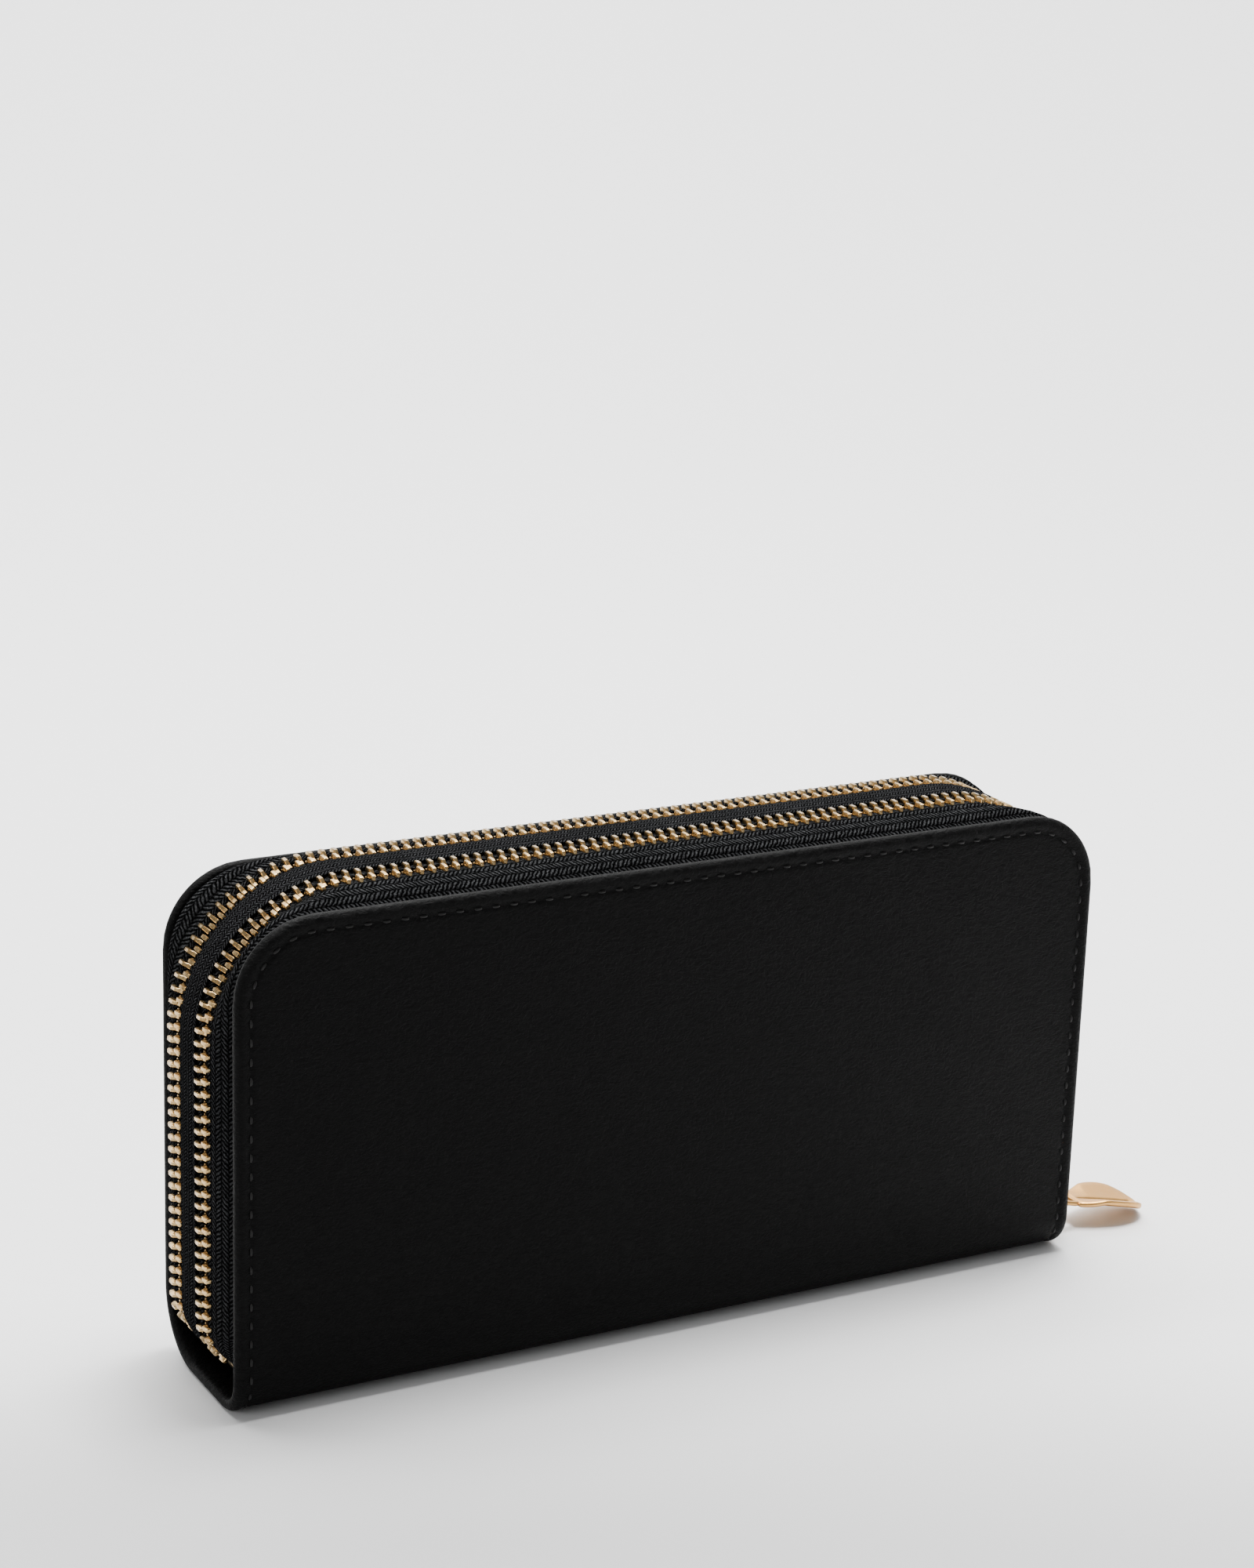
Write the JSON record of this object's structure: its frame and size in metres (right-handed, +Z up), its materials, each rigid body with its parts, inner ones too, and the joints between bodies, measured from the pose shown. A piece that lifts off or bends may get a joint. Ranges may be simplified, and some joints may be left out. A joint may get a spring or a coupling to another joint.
{
  "type": "zip around wallet",
  "caption": "Long zip around wallet with padded covers, a divider between compartments and a metal zip round each compartment.",
  "frame": {"origin": "middle of the wallet's length and depth on the flat of the spine, where it stands", "axes": "+X along the length towards the closed end of the zips, +Y from the front cover to the back cover, +Z up from the spine to the zips"},
  "size_m": [0.2257, 0.0382, 0.1036],
  "materials": {
    "cover_leather": "smooth semi-gloss black leather with fine grain",
    "inner_leather": "matt black leather",
    "lining_fabric": "black woven lining",
    "zip_tape": "black herringbone zip tape",
    "board": "matt stiffening board",
    "gold_metal": "polished pale gold"
  },
  "bodies": {
    "spine": {"spine_leather": "cover_leather", "spine_board": "board", "spine_lining": "lining_fabric", "divider_board": "board", "divider_front_lining": "lining_fabric", "divider_back_lining": "lining_fabric", "divider_slip_pocket": "inner_leather", "middle_band": "zip_tape", "near_zip_inner_tape": "zip_tape", "near_zip_inner_teeth": "gold_metal", "near_zip_inner_stop": "gold_metal", "near_zip_bottom_stop": "gold_metal", "far_zip_inner_tape": "zip_tape", "far_zip_inner_teeth": "gold_metal", "far_zip_inner_stop": "gold_metal", "far_zip_bottom_stop": "gold_metal", "coin_pocket_lower_panel": "inner_leather", "coin_pocket_upper_panel": "inner_leather", "coin_zip_lower_teeth": "gold_metal", "coin_zip_lower_tape": "zip_tape", "coin_zip_upper_teeth": "gold_metal", "coin_zip_upper_tape": "zip_tape", "front_left_gusset": "lining_fabric", "front_right_gusset": "lining_fabric", "back_left_gusset": "lining_fabric", "back_right_gusset": "lining_fabric"},
    "front_cover": {"front_cover_leather": "cover_leather", "front_cover_board": "board", "front_cover_lining": "lining_fabric", "front_card_slot_1": "inner_leather", "front_card_slot_2": "inner_leather", "front_card_slot_3": "inner_leather", "front_card_slot_4": "inner_leather", "near_zip_outer_tape": "zip_tape", "near_zip_outer_teeth": "gold_metal", "near_zip_outer_stop": "gold_metal"},
    "back_cover": {"back_cover_leather": "cover_leather", "back_cover_board": "board", "back_cover_lining": "lining_fabric", "back_card_slot_1": "inner_leather", "back_card_slot_2": "inner_leather", "back_card_slot_3": "inner_leather", "far_zip_outer_tape": "zip_tape", "far_zip_outer_teeth": "gold_metal", "far_zip_outer_stop": "gold_metal"},
    "near_slider": {"near_slider_body": "gold_metal", "near_slider_bridge": "gold_metal"},
    "near_pull": {"near_pull": "gold_metal"},
    "far_slider": {"far_slider_body": "gold_metal", "far_slider_bridge": "gold_metal"},
    "far_pull": {"far_pull": "gold_metal"},
    "coin_slider": {"coin_slider_body": "gold_metal", "coin_slider_bridge": "gold_metal"},
    "coin_pull": {"coin_pull": "gold_metal"}
  },
  "joints": [
    {"name": "front_cover_open", "type": "hinge", "parent": "spine", "child": "front_cover", "pos_m": [0, -0.01681, 0.0024], "axis": [1, 0, 0], "range_deg": [0, 50], "deforming": ["front_left_gusset", "front_right_gusset"]},
    {"name": "back_cover_open", "type": "hinge", "parent": "spine", "child": "back_cover", "pos_m": [0, 0.01294, 0.0024], "axis": [-1, 0, 0], "range_deg": [0, 50], "deforming": ["back_left_gusset", "back_right_gusset"]},
    {"name": "near_slider_travel", "type": "slide", "parent": "spine", "child": "near_slider", "axis": [0, 0, 1], "range_m": [0, 0.052]},
    {"name": "near_pull_swing", "type": "hinge", "parent": "near_slider", "child": "near_pull", "pos_m": [0.10225, -0.007, 0.0065], "axis": [0, -1, 0], "range_deg": [0, 60]},
    {"name": "far_slider_travel", "type": "slide", "parent": "spine", "child": "far_slider", "axis": [0, 0, 1], "range_m": [-0.01, 0.027]},
    {"name": "far_pull_swing", "type": "hinge", "parent": "far_slider", "child": "far_pull", "pos_m": [0.10225, 0.007, 0.035], "axis": [0, -1, 0], "range_deg": [0, 128]},
    {"name": "coin_slider_travel", "type": "slide", "parent": "spine", "child": "coin_slider", "axis": [-1, 0, 0], "range_m": [0, 0.112]},
    {"name": "coin_pull_swing", "type": "hinge", "parent": "coin_slider", "child": "coin_pull", "pos_m": [0.05721, 0.00609, 0.072], "axis": [0, 0, -1], "range_deg": [0, 20]}
  ]
}
